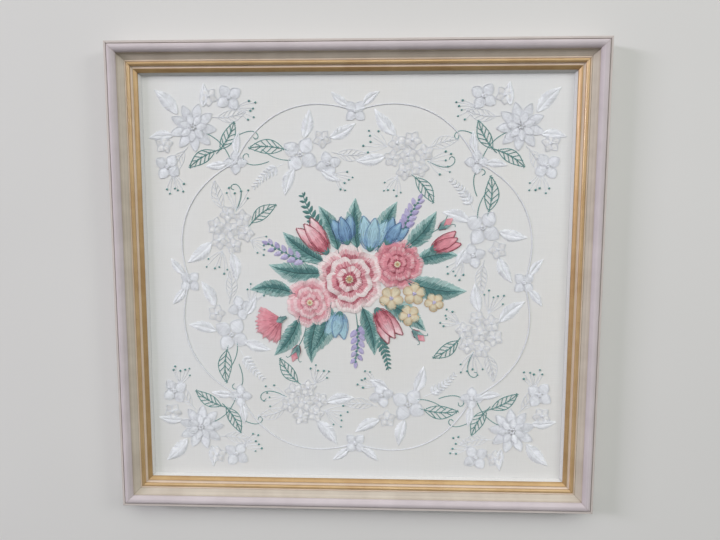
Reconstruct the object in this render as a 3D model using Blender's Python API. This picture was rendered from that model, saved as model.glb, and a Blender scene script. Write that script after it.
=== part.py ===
"""Framed embroidery: a stretched ground with raised stitching, in a mitred, moulded picture frame.

It lies on its back. The origin is the middle of the back, +Z points out of the face, +Y is the
picture's top. Metres throughout.
"""

import math

import bmesh
import bpy
from mathutils import Matrix, Vector

# Driving dimensions
FRAME_WIDTH = 0.500
FRAME_HEIGHT = 0.484
GAP = 0.0003                  # between pieces that touch

# The moulding's members from its outer edge inwards. Heights are above the frame's back. A member
# swells to a round or, below zero, sinks to a hollow between its two sides. It falls evenly at 1,
# mostly at its inner side above 1 and mostly at its outer side below.
MEMBERS = (
    # name, width, outer height, inner height, fall, swell, steps, finish
    ("arris", 0.0004, 0.0228, 0.0232, 1.0, 0.0, 1, "lavender paint"),
    ("outer fillet", 0.0018, 0.0232, 0.0232, 1.0, 0.0, 1, "lavender paint"),
    ("quirk", 0.0010, 0.0228, 0.0228, 1.0, -0.0010, 4, "taupe paint"),
    ("roll", 0.0078, 0.0234, 0.0213, 3.0, 0.0018, 24, "lavender paint"),
    ("cove", 0.0058, 0.0208, 0.0147, 0.4, 0.0008, 16, "taupe paint"),
    ("reed", 0.0015, 0.0156, 0.0153, 1.0, 0.0005, 6, "cream paint"),
    ("gold bead", 0.0040, 0.0151, 0.0147, 1.0, 0.0019, 16, "gilding"),
    ("inner fillet", 0.0024, 0.0136, 0.0138, 1.0, -0.0003, 6, "cream paint"),
    ("gold lip", 0.0034, 0.0140, 0.0113, 1.0, 0.0004, 10, "gilding"),
)
MOULDING_WIDTH = sum(member[1] for member in MEMBERS)
LIP_THICKNESS = 0.0010
RABBET_WIDTH = 0.0060
BACK_CHAMFER = 0.0006

# What lies in the rabbet, from the back
BOARD_BACK = 0.0014
BOARD_THICKNESS = 0.0030
CLOTH_THICKNESS = 0.0012
SLIP_BEVEL = 0.0018
SLIP_EDGE = 0.0004

RABBET_EDGE = MOULDING_WIDTH - RABBET_WIDTH
LIP_BACK = MEMBERS[-1][3] - LIP_THICKNESS
INSERT_WIDTH = FRAME_WIDTH - 2 * (RABBET_EDGE + GAP)
INSERT_HEIGHT = FRAME_HEIGHT - 2 * (RABBET_EDGE + GAP)
CLOTH_BACK = BOARD_BACK + BOARD_THICKNESS + GAP
CLOTH_FACE = CLOTH_BACK + CLOTH_THICKNESS

# The scalloped line round the design, couched in thick white thread
LINE_LOBES = 8
LINE_RADIUS = 0.176
LINE_SWELL = 0.015
LINE_THICKNESS = 0.0009
LINE_STEPS_A_LOBE = 14

# Raised stitching: where each motif is, how it is turned (degrees from +X) and how large it is.
# A blossom is placed by its middle, and a leaf, tulip, bell or carnation by its stalk end.
COLOURED_BLOSSOMS = (
    # form, x, y, turn, size
    ("tulip", -0.029, 0.030, 128, 0.042),
    ("tulip", 0.022, -0.028, 302, 0.040),
    ("tulip", 0.079, 0.034, 24, 0.032),
    ("carnation", -0.078, -0.040, 206, 0.031),
    ("bell", -0.008, 0.040, 104, 0.031),
    ("bell", 0.015, 0.033, 80, 0.037),
    ("bell", 0.032, 0.040, 55, 0.029),
    ("bell", -0.016, -0.032, 258, 0.030),
    ("star", 0.038, -0.017, 20, 0.0125),
    ("star", 0.062, -0.012, 50, 0.0120),
    ("star", 0.057, -0.035, 80, 0.0110),
    ("star", 0.083, -0.021, 10, 0.0100),
    ("poppy", 0.044, 0.019, 60, 0.027),
    ("poppy", -0.048, -0.022, 15, 0.026),
    ("poppy", -0.006, 0.003, 90, 0.037),
)
COLOURED_LEAVES = (
    # x, y, turn, length, how far its rib is bowed as a share of its length
    (-0.034, 0.010, 172, 0.058, 0.08),
    (-0.066, -0.012, 176, 0.046, -0.08),
    (-0.060, -0.040, 236, 0.048, 0.08),
    (-0.040, -0.040, 262, 0.048, -0.06),
    (-0.026, -0.026, 246, 0.060, 0.07),
    (0.008, -0.028, 284, 0.052, 0.06),
    (0.030, -0.022, 326, 0.054, 0.08),
    (0.054, 0.002, 350, 0.064, -0.07),
    (0.062, 0.022, 8, 0.046, 0.08),
    (0.052, 0.036, 50, 0.050, -0.07),
    (0.024, 0.036, 68, 0.052, 0.06),
    (0.002, 0.036, 92, 0.052, 0.05),
    (-0.018, 0.034, 114, 0.050, -0.06),
    (-0.034, 0.022, 144, 0.052, 0.07),
)
# One corner's white spray, and the two kinds that take turns in the lobes of the line, before they
# are copied round the design
CORNER_SPRAY = (
    ("daisy", 0.168, 0.160, 45, 0.024),
    ("dogwood", 0.130, 0.190, 10, 0.014),
    ("dogwood", 0.196, 0.120, 80, 0.014),
    ("floret", 0.151, 0.191, 20, 0.009),
    ("floret", 0.199, 0.143, 60, 0.009),
    ("leaf", 0.184, 0.174, 46, 0.034),
    ("leaf", 0.157, 0.181, 92, 0.024),
    ("leaf", 0.189, 0.152, -6, 0.026),
)
CLUSTER_SPRAY = (
    ("floret", 0.142, 0.000, 0, 0.0090),
    ("floret", 0.158, 0.002, 30, 0.0088),
    ("floret", 0.149, 0.015, 10, 0.0090),
    ("floret", 0.133, 0.014, 50, 0.0085),
    ("floret", 0.126, -0.003, 20, 0.0088),
    ("floret", 0.135, -0.016, 40, 0.0090),
    ("floret", 0.151, -0.015, 0, 0.0085),
    ("leaf", 0.156, 0.020, 62, 0.034),
    ("leaf", 0.132, 0.022, 122, 0.030),
)
DOGWOOD_SPRAY = (
    ("dogwood", 0.144, -0.002, 10, 0.019),
    ("dogwood", 0.124, 0.021, 50, 0.013),
    ("floret", 0.150, 0.025, 20, 0.0090),
    ("leaf", 0.134, -0.014, 220, 0.030),
    ("leaf", 0.158, 0.008, 34, 0.030),
    ("leaf", 0.120, 0.012, 140, 0.022),
    ("leaf", 0.148, 0.033, 84, 0.030),
)
LOBE_SPRAYS = 8
CUSP_BLOSSOM = 0.012
CUSP_LEAF = 0.022
CUSP_LEAF_TURN = 52
WHITE_LEAF_BOW = 0.05
LEAF_SLENDERNESS = 0.40
SUNK = 0.0004                 # how deep a raised motif is let into the cloth's face
SHOULDER_SCALE = 0.86         # a raised motif's outline at its shoulder
SHOULDER_RISE = 0.8

# name, petals, how deep the petals are parted, points a petal, rise
BLOSSOMS = {
    "poppy": (6, 0.12, 6, 0.0018),
    "star": (5, 0.36, 4, 0.0009),
    "daisy": (9, 0.40, 4, 0.0010),
    "dogwood": (4, 0.40, 5, 0.0009),
    "floret": (5, 0.34, 3, 0.0008),
}
# A cup is a flower seen from its side: name, mouth's half-width, teeth, how far they stand out, rise
CUPS = {
    "tulip": (0.31, 3, 0.16, 0.0011),
    "bell": (0.42, 3, 0.16, 0.0010),
    "carnation": (0.70, 7, 0.08, 0.0011),
}
LEAF_RISE = 0.0007

FINISHES = {
    # name: colour, roughness, metallic
    "lavender paint": ((0.560, 0.500, 0.510, 1), 0.38, 0.0),
    "taupe paint": ((0.580, 0.510, 0.440, 1), 0.42, 0.0),
    "cream paint": ((0.680, 0.580, 0.470, 1), 0.42, 0.0),
    "gilding": ((0.640, 0.450, 0.230, 1), 0.40, 0.8),
    "white board": ((0.720, 0.730, 0.740, 1), 0.80, 0.0),
    "cream cotton": ((0.760, 0.750, 0.720, 1), 0.90, 0.0),
    "brown board": ((0.260, 0.170, 0.095, 1), 0.80, 0.0),
}


def clear_scene():
    for obj in list(bpy.data.objects):
        bpy.data.objects.remove(obj, do_unlink=True)


def new_collection(name):
    collection = bpy.data.collections.new(name)
    bpy.context.scene.collection.children.link(collection)
    return collection


def finish(name):
    """The named finish as a material, made once."""
    material = bpy.data.materials.get(name)
    if material is None:
        colour, roughness, metallic = FINISHES[name]
        material = bpy.data.materials.new(name)
        material.use_nodes = True
        shader = material.node_tree.nodes["Principled BSDF"]
        shader.inputs["Base Color"].default_value = colour
        shader.inputs["Roughness"].default_value = roughness
        shader.inputs["Metallic"].default_value = metallic
    return material


def new_object(name, mesh, collection, *finishes):
    obj = bpy.data.objects.new(name, mesh)
    collection.objects.link(obj)
    for each in finishes:
        mesh.materials.append(finish(each))
    return obj


# Moulding and slips


def member_points(width, outer, inner, fall, swell, steps):
    """A member's section from its outer side: an arc of an ellipse over its fall."""
    points = []
    for step in range(steps + 1):
        turn = math.pi * step / steps
        across = (1 - math.cos(turn)) / 2
        height = outer + (inner - outer) * across ** fall + swell * math.sin(turn)
        points.append((width * across, height))
    return points


def moulding_section():
    """The moulding's closed outline: distance in from the outer edge, height above the back."""
    section = [(0.0, BACK_CHAMFER)]
    start = 0.0
    for _, width, *form, _ in MEMBERS:
        section += [(start + x, y) for x, y in member_points(width, *form)]
        start += width
    section.append((start, LIP_BACK))
    section.append((RABBET_EDGE, LIP_BACK))
    section.append((RABBET_EDGE, 0.0))
    section.append((BACK_CHAMFER, 0.0))
    return without_repeats(section)


def slip_section():
    """A bevelled slip's outline, from the rabbet's wall to the foot of its bevel."""
    outer = RABBET_EDGE + GAP
    foot = CLOTH_FACE + GAP
    top = LIP_BACK - GAP
    inner = MOULDING_WIDTH + SLIP_BEVEL
    return [
        (outer, foot),
        (outer, top),
        (MOULDING_WIDTH, top),
        (inner, foot + SLIP_EDGE),
        (inner, foot),
    ]


def without_repeats(points):
    kept = []
    for point in points:
        if not kept or math.dist(point, kept[-1]) > 1e-6:
            kept.append(point)
    return kept


def extruded(name, section, length):
    """A straight length of a section, along local Z, as one closed mesh."""
    curve = bpy.data.curves.new(name, "CURVE")
    curve.dimensions = "2D"
    curve.fill_mode = "BOTH"
    curve.extrude = length / 2
    spline = curve.splines.new("POLY")
    spline.points.add(len(section) - 1)
    for point, (x, y) in zip(spline.points, section):
        point.co = (x, y, 0.0, 1.0)
    spline.use_cyclic_u = True
    return mesh_of_curve(name, curve)


def mesh_of_curve(name, curve):
    """A curve's closed mesh, with its caps welded on."""
    guide = bpy.data.objects.new(name, curve)
    bpy.context.scene.collection.objects.link(guide)
    evaluated = guide.evaluated_get(bpy.context.evaluated_depsgraph_get())
    mesh = bpy.data.meshes.new_from_object(evaluated)
    bpy.data.objects.remove(guide, do_unlink=True)
    shape = bmesh.new()
    shape.from_mesh(mesh)
    bmesh.ops.remove_doubles(shape, verts=shape.verts, dist=1e-6)
    bmesh.ops.recalc_face_normals(shape, faces=shape.faces)
    shape.to_mesh(mesh)
    shape.free()
    mesh.name = name
    return mesh


def mitre(mesh, side_length):
    """Cut both ends at 45 degrees: a line further in from the outer edge is shorter."""
    half_gap = GAP / 2 * math.sqrt(2)
    for vertex in mesh.vertices:
        end = side_length / 2 - vertex.co.x - half_gap
        vertex.co.z = math.copysign(end, vertex.co.z)


def finish_moulding(mesh):
    """Give each face of the moulding the finish of the member that it belongs to."""
    names = list(dict.fromkeys(member[-1] for member in MEMBERS))
    for face in mesh.polygons:
        start = 0.0
        for _, width, *_, name in MEMBERS:
            if start <= face.center.x <= start + width and face.normal.y > 0:
                face.material_index = names.index(name)
            start += width


def four_sides():
    """Each side's name, length, place of its outer edge and turn about Z."""
    return (
        ("bottom", FRAME_WIDTH, (0, -FRAME_HEIGHT / 2, 0), 0),
        ("right", FRAME_HEIGHT, (FRAME_WIDTH / 2, 0, 0), 90),
        ("top", FRAME_WIDTH, (0, FRAME_HEIGHT / 2, 0), 180),
        ("left", FRAME_HEIGHT, (-FRAME_WIDTH / 2, 0, 0), 270),
    )


def place_on_side(obj, place, turn):
    """Stand a section's height up, and turn its length along its side of the frame."""
    obj.location = place
    obj.rotation_euler = (math.pi / 2, 0, math.pi / 2 + math.radians(turn))


def build_moulding(collection):
    paints = list(dict.fromkeys(member[-1] for member in MEMBERS))
    for side, length, place, turn in four_sides():
        mesh = extruded("rail_" + side, moulding_section(), length)
        mitre(mesh, length)
        rail = new_object("rail_" + side, mesh, collection, *paints)
        finish_moulding(mesh)
        mesh.shade_smooth()
        mesh.set_sharp_from_angle(angle=math.radians(35))
        place_on_side(rail, place, turn)


def build_slips(collection):
    for side, length, place, turn in four_sides():
        mesh = extruded("slip_" + side, slip_section(), length)
        mitre(mesh, length)
        slip = new_object("slip_" + side, mesh, collection, "white board")
        place_on_side(slip, place, turn)


# Sheets


def slab_mesh(name, width, height, bottom, top):
    """A flat slab centred on the origin between two heights."""
    mesh = bpy.data.meshes.new(name)
    shape = bmesh.new()
    bmesh.ops.create_cube(shape, size=1)
    size = Matrix.Diagonal((width, height, top - bottom, 1))
    rise = Matrix.Translation((0, 0, (top + bottom) / 2))
    bmesh.ops.transform(shape, matrix=rise @ size, verts=shape.verts)
    shape.to_mesh(mesh)
    shape.free()
    return mesh


def build_backing_board(collection):
    top = BOARD_BACK + BOARD_THICKNESS
    mesh = slab_mesh("backing_board", INSERT_WIDTH, INSERT_HEIGHT, BOARD_BACK, top)
    new_object("backing_board", mesh, collection, "brown board")


# Raised stitching


def blossom_outline(petals, cleft, points_a_petal, radius):
    """An open flower from above: round petals parted by clefts."""
    points = []
    steps = petals * points_a_petal
    for step in range(steps):
        angle = math.tau * step / steps
        lobe = abs(math.sin(petals * angle / 2)) ** 0.6
        reach = radius * (1 - cleft + cleft * lobe)
        points.append((reach * math.cos(angle), reach * math.sin(angle)))
    return points


def leaf_outline(length, bow):
    """A lance leaf along +X from its stalk end, its rib bowed to its left."""
    upper, lower = [], []
    for step in range(1, 6):
        along = step / 6
        width = length * LEAF_SLENDERNESS / 2 * math.sin(math.pi * along ** 0.85)
        rib = bow * length * 4 * along * (1 - along)
        upper.append((length * along, rib + width))
        lower.append((length * along, rib - width))
    return [(0.0, 0.0), *lower, (length, 0.0), *reversed(upper)]


def cup_outline(length, mouth, teeth, tooth):
    """A tulip, bell or carnation from its side, along +X from its stalk, with a toothed mouth."""
    body = []
    for step in range(1, 4):
        along = 0.75 * step / 3
        body.append((length * along, length * mouth * math.sin(math.pi / 2 * along) ** 0.8))
    rim = []
    for step in range(2 * teeth + 1):
        across = 1 - step / teeth
        reach = 1 - (0.0 if step % 2 else tooth) - 0.08 * abs(across)
        rim.append((length * reach, length * mouth * across))
    lower = [(x, -y) for x, y in body]
    return [(0.0, 0.0), *lower, *reversed(rim), *reversed(body)]


def motif(form, size, bow):
    """A motif's outline about its own place, and how high it is raised."""
    if form == "leaf":
        return leaf_outline(size, bow), LEAF_RISE
    if form in CUPS:
        mouth, teeth, tooth, rise = CUPS[form]
        return cup_outline(size, mouth, teeth, tooth), rise
    petals, cleft, points_a_petal, rise = BLOSSOMS[form]
    return blossom_outline(petals, cleft, points_a_petal, size), rise


def raised_motif(collection, form, x, y, turn, size, bow=WHITE_LEAF_BOW):
    """A low dome on a motif's outline, let into the cloth's face."""
    outline, rise = motif(form, size, bow)
    middle = sum((Vector(point) for point in outline), Vector((0, 0))) / len(outline)
    shape = bmesh.new()
    base = shape.faces.new([shape.verts.new((px, py, -SUNK)) for px, py in outline])
    grown = bmesh.ops.extrude_face_region(shape, geom=[base])["geom"]
    for vertex in (part for part in grown if isinstance(part, bmesh.types.BMVert)):
        flat = middle + (vertex.co.xy - middle) * SHOULDER_SCALE
        vertex.co = (flat.x, flat.y, rise * SHOULDER_RISE)
    top = [part for part in grown if isinstance(part, bmesh.types.BMFace)]
    bmesh.ops.poke(shape, faces=top, offset=rise * (1 - SHOULDER_RISE))
    bmesh.ops.recalc_face_normals(shape, faces=shape.faces)
    mesh = bpy.data.meshes.new(form)
    shape.to_mesh(mesh)
    shape.free()
    pad = new_object("raised_" + form, mesh, collection)
    pad.location = (x, y, CLOTH_FACE)
    pad.rotation_euler = (0, 0, math.radians(turn))


def turned(x, y, degrees):
    flat = Matrix.Rotation(math.radians(degrees), 2) @ Vector((x, y))
    return flat.x, flat.y


def raise_coloured_spray(collection):
    for form, x, y, turn, size in COLOURED_BLOSSOMS:
        raised_motif(collection, form, x, y, turn, size)
    for x, y, turn, length, bow in COLOURED_LEAVES:
        raised_motif(collection, "leaf", x, y, turn, length, bow)


def raise_corner_sprays(collection):
    """The corner spray mirrored into all four corners."""
    for form, x, y, turn, size in CORNER_SPRAY:
        for across in (1, -1):
            for up in (1, -1):
                way = Vector((across * math.cos(math.radians(turn)), up * math.sin(math.radians(turn))))
                facing = math.degrees(math.atan2(way.y, way.x))
                bow = across * up * WHITE_LEAF_BOW
                raised_motif(collection, form, across * x, up * y, facing, size, bow)


def raise_lobe_sprays(collection):
    """Clusters and, mirrored, dogwood sprays in turn round the inside of the line."""
    for lobe in range(LOBE_SPRAYS):
        round_by = 360 * (lobe + 0.5) / LOBE_SPRAYS
        spray, hand = (CLUSTER_SPRAY, 1) if lobe % 2 else (DOGWOOD_SPRAY, -1)
        for form, x, y, turn, size in spray:
            place = turned(x, hand * y, round_by)
            raised_motif(collection, form, *place, hand * turn + round_by, size, hand * WHITE_LEAF_BOW)


def raise_cusp_blossoms(collection):
    """A blossom with two leaves at each cusp of the line."""
    for cusp in range(LINE_LOBES):
        angle = 360 * cusp / LINE_LOBES
        place = turned(LINE_RADIUS, 0, angle)
        raised_motif(collection, "dogwood", *place, angle, CUSP_BLOSSOM)
        for turn in (CUSP_LEAF_TURN, -CUSP_LEAF_TURN):
            step = turned(CUSP_BLOSSOM * 0.8, 0, angle + turn)
            stalk = (place[0] + step[0], place[1] + step[1])
            raised_motif(collection, "leaf", *stalk, angle + turn, CUSP_LEAF)


def raise_scalloped_line(collection):
    """The couched line: a closed cord half sunk in the cloth's face, cusped between its lobes."""
    curve = bpy.data.curves.new("scalloped_line", "CURVE")
    curve.dimensions = "3D"
    curve.bevel_depth = LINE_THICKNESS / 2
    curve.bevel_resolution = 1
    steps = LINE_LOBES * LINE_STEPS_A_LOBE
    spline = curve.splines.new("POLY")
    spline.points.add(steps - 1)
    for step, point in enumerate(spline.points):
        angle = math.tau * step / steps
        reach = LINE_RADIUS + LINE_SWELL * abs(math.sin(LINE_LOBES * angle / 2))
        point.co = (reach * math.cos(angle), reach * math.sin(angle), CLOTH_FACE, 1.0)
    spline.use_cyclic_u = True
    new_object("raised_line", mesh_of_curve("scalloped_line", curve), collection)


def build_cloth(collection, raised):
    mesh = slab_mesh("embroidered_cloth", INSERT_WIDTH, INSERT_HEIGHT, CLOTH_BACK, CLOTH_FACE)
    cloth = new_object("embroidered_cloth", mesh, collection, "cream cotton")
    raise_coloured_spray(raised)
    raise_corner_sprays(raised)
    raise_lobe_sprays(raised)
    raise_cusp_blossoms(raised)
    raise_scalloped_line(raised)
    for obj in raised.objects:
        obj.hide_render = True
        obj.display_type = "WIRE"
    union = cloth.modifiers.new("raised stitching", "BOOLEAN")
    union.operation = "UNION"
    union.operand_type = "COLLECTION"
    union.collection = raised
    union.solver = "EXACT"


def main():
    clear_scene()
    pieces = new_collection("framed_embroidery")
    raised = new_collection("raised_stitching")
    build_moulding(pieces)
    build_slips(pieces)
    build_cloth(pieces, raised)
    build_backing_board(pieces)


main()
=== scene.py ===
import cmath
import math
import random

import bmesh
import bpy
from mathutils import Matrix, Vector, noise


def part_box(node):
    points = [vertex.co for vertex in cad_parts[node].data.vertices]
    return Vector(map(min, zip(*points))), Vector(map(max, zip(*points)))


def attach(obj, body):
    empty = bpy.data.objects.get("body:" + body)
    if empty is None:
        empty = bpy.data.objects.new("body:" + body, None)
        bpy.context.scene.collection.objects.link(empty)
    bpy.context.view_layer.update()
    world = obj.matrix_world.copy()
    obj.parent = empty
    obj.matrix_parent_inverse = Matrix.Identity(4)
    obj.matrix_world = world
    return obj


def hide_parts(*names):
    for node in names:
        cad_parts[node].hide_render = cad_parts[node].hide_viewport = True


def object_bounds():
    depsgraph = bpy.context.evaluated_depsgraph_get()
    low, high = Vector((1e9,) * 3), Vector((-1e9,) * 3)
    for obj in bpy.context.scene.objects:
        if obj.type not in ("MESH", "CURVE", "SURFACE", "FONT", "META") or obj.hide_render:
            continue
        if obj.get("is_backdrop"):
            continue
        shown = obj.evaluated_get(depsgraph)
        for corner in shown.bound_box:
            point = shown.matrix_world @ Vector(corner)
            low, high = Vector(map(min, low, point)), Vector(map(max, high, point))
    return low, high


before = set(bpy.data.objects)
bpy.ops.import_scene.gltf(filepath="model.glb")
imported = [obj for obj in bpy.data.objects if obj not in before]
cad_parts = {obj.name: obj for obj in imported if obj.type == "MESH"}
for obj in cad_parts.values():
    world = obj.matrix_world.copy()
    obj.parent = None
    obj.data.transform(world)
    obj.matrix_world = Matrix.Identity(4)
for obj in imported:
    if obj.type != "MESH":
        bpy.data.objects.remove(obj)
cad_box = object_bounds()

# Sizes, in metres. The design lies flat on the cloth and is drawn with complex numbers, x + iy.

FRAME_LOW, FRAME_HIGH = (Vector(corner) for corner in cad_box)
HALF_WIDTH = (FRAME_HIGH.x - FRAME_LOW.x) / 2
HALF_HEIGHT = (FRAME_HIGH.y - FRAME_LOW.y) / 2
CLOTH_LOW, CLOTH_HIGH = (Vector(corner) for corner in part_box("embroidered_cloth"))
CLOTH_THICKNESS = 0.0012
CLOTH_FACE = CLOTH_LOW.z + CLOTH_THICKNESS
SIDES = ("bottom", "right", "top", "left")
MITRE_SEAM = 0.00003          # left open each side of a glued mitre
JOINT_EDGES = (0.0001, 0.0009)  # where the dark joint at a mitre begins and ends to fade
JOINT_STRENGTH = 0.4

THREAD = 0.00070              # width of two strands of stranded cotton
PITCH = 0.00055               # from one satin stitch to the next
STEM_THREAD = 0.00085         # the green stems' thread and stitch
STEM_LENGTH = 0.0021
FINE_THREAD = 0.00070         # the outlines' thread and stitch
FINE_LENGTH = 0.0017
RIM_GAP = 0.0003              # from a white petal's edge to its outline
RIB_SLIT = 0.0002             # from a white leaf's rib to each of its halves
KNOT = 0.0014                 # a knot's radius
WEAVE_PITCH = 0.00045         # from one of the ground's threads to the next

# Heights over the cloth, and how far threads arch over what is under them
THREAD_ARCH = 0.00025
PETAL_LOW = 0.0003            # where a coloured flower's lowest petal begins
PETAL_CROWN = 0.0005          # how far a pointed petal's middle stands up
FRONT_LIFT = 0.0005           # how far a cup's front petal stands before the others
OVERLAP_LIFT = 0.0002         # between petals that take turns over and under
FAN_LIFT = 0.0001             # from one petal of a fan to the next
FAN_RISE = 0.0004             # from a fan petal's rim to its root
SEPAL_LOW = 0.0008
STAR_ROOT = 0.0006
STAR_RIM = 0.0005
STAR_PAD = 0.0005
POPPY_HEART = 0.0021
STAR_HEART = 0.0011
LEAF_ARCH = 0.0002
LEAF_CREST = 0.0006
RIB_FOOT = 0.0003
RIB_LIFT = 0.0002
VEIN_LIFT = 0.0001
OUTLINE_LIFT = 0.0002
LEAFLET_PAD = 0.0007
WHITE_LEAF_PAD = 0.0006
WHITE_RIM = 0.0004

DESIGN_SEED = 11
THREAD_SEED = 20
LINE_SEED = 31
KNOT_SEED = 32

# Thread colours, as seen in daylight, except SHADED_WHITE, which is the white with painted shade in it
PINK_RIM = "FBF0F0"
PALE_PINK = "F4CDD4"
CORAL = "E89EAB"
DEEP_ROSE = "A9475B"
SKY = "B4D8E6"
BLUE = "89B0D3"
NAVY = "5479A6"
YELLOW = "E7DDC4"
TAN = "CFAF82"
LILAC = "D3CDEB"
DEEP_LILAC = "BDB3E0"
DEEP_GREEN = "3E6E72"
GREEN = "659896"
PALE_GREEN = "B4D4D2"
WHITE = "F5F8FD"
WARM_WHITE = "F5F6F7"
# the white thread made darker as painted shade, for the outlines, heart knots, stalks and scalloped line
SHADED_WHITE = "E9ECF2"

ROSE = (PINK_RIM, PINK_RIM, CORAL, DEEP_ROSE, DEEP_ROSE)
WARM_ROSE = (PINK_RIM, CORAL, CORAL, DEEP_ROSE, DEEP_ROSE)
SOFT_ROSE = (PINK_RIM, PALE_PINK, CORAL, DEEP_ROSE)
CORALS = (PALE_PINK, CORAL, CORAL, DEEP_ROSE)
BLUES = (SKY, BLUE, BLUE, NAVY)
LIGHT_BLUES = (SKY, SKY, SKY, BLUE)
GOLDS = (YELLOW, YELLOW, TAN)

# Where the motifs are: their middles, or the stalk ends of those seen from the side
COLOURED_BLOSSOMS = (
    # form, x, y, turn, size, shades from rim to root
    ("tulip", -0.029, 0.030, 128, 0.042, SOFT_ROSE),
    ("tulip", 0.022, -0.028, 302, 0.040, SOFT_ROSE),
    ("tulip", 0.079, 0.034, 24, 0.032, CORALS),
    ("carnation", -0.078, -0.040, 206, 0.031, CORALS),
    ("bell", -0.008, 0.040, 104, 0.031, BLUES),
    ("bell", 0.015, 0.033, 80, 0.037, LIGHT_BLUES),
    ("bell", 0.032, 0.040, 55, 0.029, BLUES),
    ("bell", -0.016, -0.032, 258, 0.030, LIGHT_BLUES),
    ("star", 0.038, -0.017, 20, 0.0125, GOLDS),
    ("star", 0.062, -0.012, 50, 0.0120, GOLDS),
    ("star", 0.057, -0.035, 80, 0.0110, GOLDS),
    ("star", 0.083, -0.021, 10, 0.0100, GOLDS),
    ("poppy", 0.044, 0.019, 60, 0.027, WARM_ROSE),
    ("poppy", -0.048, -0.022, 15, 0.026, SOFT_ROSE),
    ("poppy", -0.006, 0.003, 90, 0.037, ROSE),
)
COLOURED_LEAVES = (
    # x, y, turn, length, bow
    (-0.034, 0.010, 172, 0.058, 0.08),
    (-0.066, -0.012, 176, 0.046, -0.08),
    (-0.060, -0.040, 236, 0.048, 0.08),
    (-0.040, -0.040, 262, 0.048, -0.06),
    (-0.026, -0.026, 246, 0.060, 0.07),
    (0.008, -0.028, 284, 0.052, 0.06),
    (0.030, -0.022, 326, 0.054, 0.08),
    (0.054, 0.002, 350, 0.064, -0.07),
    (0.062, 0.022, 8, 0.046, 0.08),
    (0.052, 0.036, 50, 0.050, -0.07),
    (0.024, 0.036, 68, 0.052, 0.06),
    (0.002, 0.036, 92, 0.052, 0.05),
    (-0.018, 0.034, 114, 0.050, -0.06),
    (-0.034, 0.022, 144, 0.052, 0.07),
)
LILAC_SPIKES = (
    # x, y, turn, length
    (-0.036, 0.018, 158, 0.062),
    (0.000, -0.030, 270, 0.058),
    (0.046, 0.040, 66, 0.052),
)
BUDS = (
    (0.068, 0.041, 38, 0.042),
    (-0.052, -0.045, 250, 0.044),
    (0.044, -0.036, 318, 0.040),
)
FERNS = (
    (-0.026, 0.044, 121, 0.056),
    (0.020, -0.052, 290, 0.044),
)

# One corner's spray, and the two kinds of spray that take turns in the lobes of the line, which lie
# about the x axis here. Before they are copied round, each is a list of form, x, y, turn and size.
CORNER_SPRAY = (
    ("green stem", 0.130, 0.128, 44, 0.040),
    ("daisy", 0.168, 0.160, 45, 0.024),
    ("dogwood", 0.130, 0.190, 10, 0.014),
    ("dogwood", 0.196, 0.120, 80, 0.014),
    ("floret", 0.151, 0.191, 20, 0.009),
    ("floret", 0.199, 0.143, 60, 0.009),
    ("white leaf", 0.184, 0.174, 46, 0.034),
    ("white leaf", 0.157, 0.181, 92, 0.024),
    ("white leaf", 0.189, 0.152, -6, 0.026),
    ("green outline", 0.140, 0.138, 118, 0.032),
    ("green outline", 0.146, 0.136, -32, 0.032),
    ("white outline", 0.142, 0.170, 168, 0.030),
    ("white outline", 0.178, 0.136, -62, 0.030),
    ("tendril", 0.121, 0.152, 150, 0.038),
    ("stalks", 0.122, 0.180, 190, 0.020),
    ("stalks", 0.190, 0.112, -100, 0.020),
)
CLUSTER_SPRAY = (
    ("floret", 0.142, 0.000, 0, 0.0090),
    ("floret", 0.158, 0.002, 30, 0.0088),
    ("floret", 0.149, 0.015, 10, 0.0090),
    ("floret", 0.133, 0.014, 50, 0.0085),
    ("floret", 0.126, -0.003, 20, 0.0088),
    ("floret", 0.135, -0.016, 40, 0.0090),
    ("floret", 0.151, -0.015, 0, 0.0085),
    ("white leaf", 0.156, 0.020, 62, 0.034),
    ("white leaf", 0.132, 0.022, 122, 0.030),
    ("green outline", 0.124, -0.016, 238, 0.032),
    ("white outline", 0.158, -0.018, -52, 0.030),
    ("tendril", 0.144, -0.022, 262, 0.050),
    ("stalks", 0.142, 0.024, 92, 0.024),
    ("stalks", 0.118, 0.002, 178, 0.020),
    ("stalks", 0.144, -0.022, 286, 0.024),
)
DOGWOOD_SPRAY = (
    ("green stem", 0.163, -0.036, 128, 0.036),
    ("dogwood", 0.144, -0.002, 10, 0.019),
    ("dogwood", 0.124, 0.021, 50, 0.013),
    ("floret", 0.150, 0.025, 20, 0.0090),
    ("white leaf", 0.134, -0.014, 220, 0.030),
    ("white leaf", 0.158, 0.008, 34, 0.030),
    ("white leaf", 0.120, 0.012, 140, 0.022),
    ("white leaf", 0.148, 0.033, 84, 0.030),
    ("green outline", 0.156, -0.016, -66, 0.036),
    ("white outline", 0.130, 0.034, 112, 0.030),
    ("fern", 0.142, -0.022, 254, 0.040),
    ("tendril", 0.150, -0.036, 270, 0.050),
    ("stalks", 0.112, 0.022, 142, 0.020),
)
LOBE_SPRAYS = 8
CUSP_BLOSSOM = 0.012
CUSP_LEAF = 0.022
CUSP_LEAF_TURN = 52
LINE_LOBES = 8
LINE_RADIUS = 0.176
LINE_SWELL = 0.015
LINE_THICKNESS = 0.0013
LINE_STITCH = 0.0032
LEAF_SLENDERNESS = 0.40


# Node trees


def add(tree, kind, inputs=None, **settings):
    """A new node with its settings and inputs: a socket is linked, anything else is set."""
    made = tree.nodes.new(kind)
    for name, value in settings.items():
        setattr(made, name, value)
    for name, value in (inputs or {}).items():
        socket = made.inputs[name]
        if isinstance(value, bpy.types.NodeSocket):
            tree.links.new(value, socket)
        else:
            socket.default_value = value
    return made


def maths(tree, operation, first, second=0.0, third=0.0):
    inputs = {0: first, 1: second, 2: third}
    return add(tree, "ShaderNodeMath", inputs, operation=operation).outputs[0]


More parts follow.
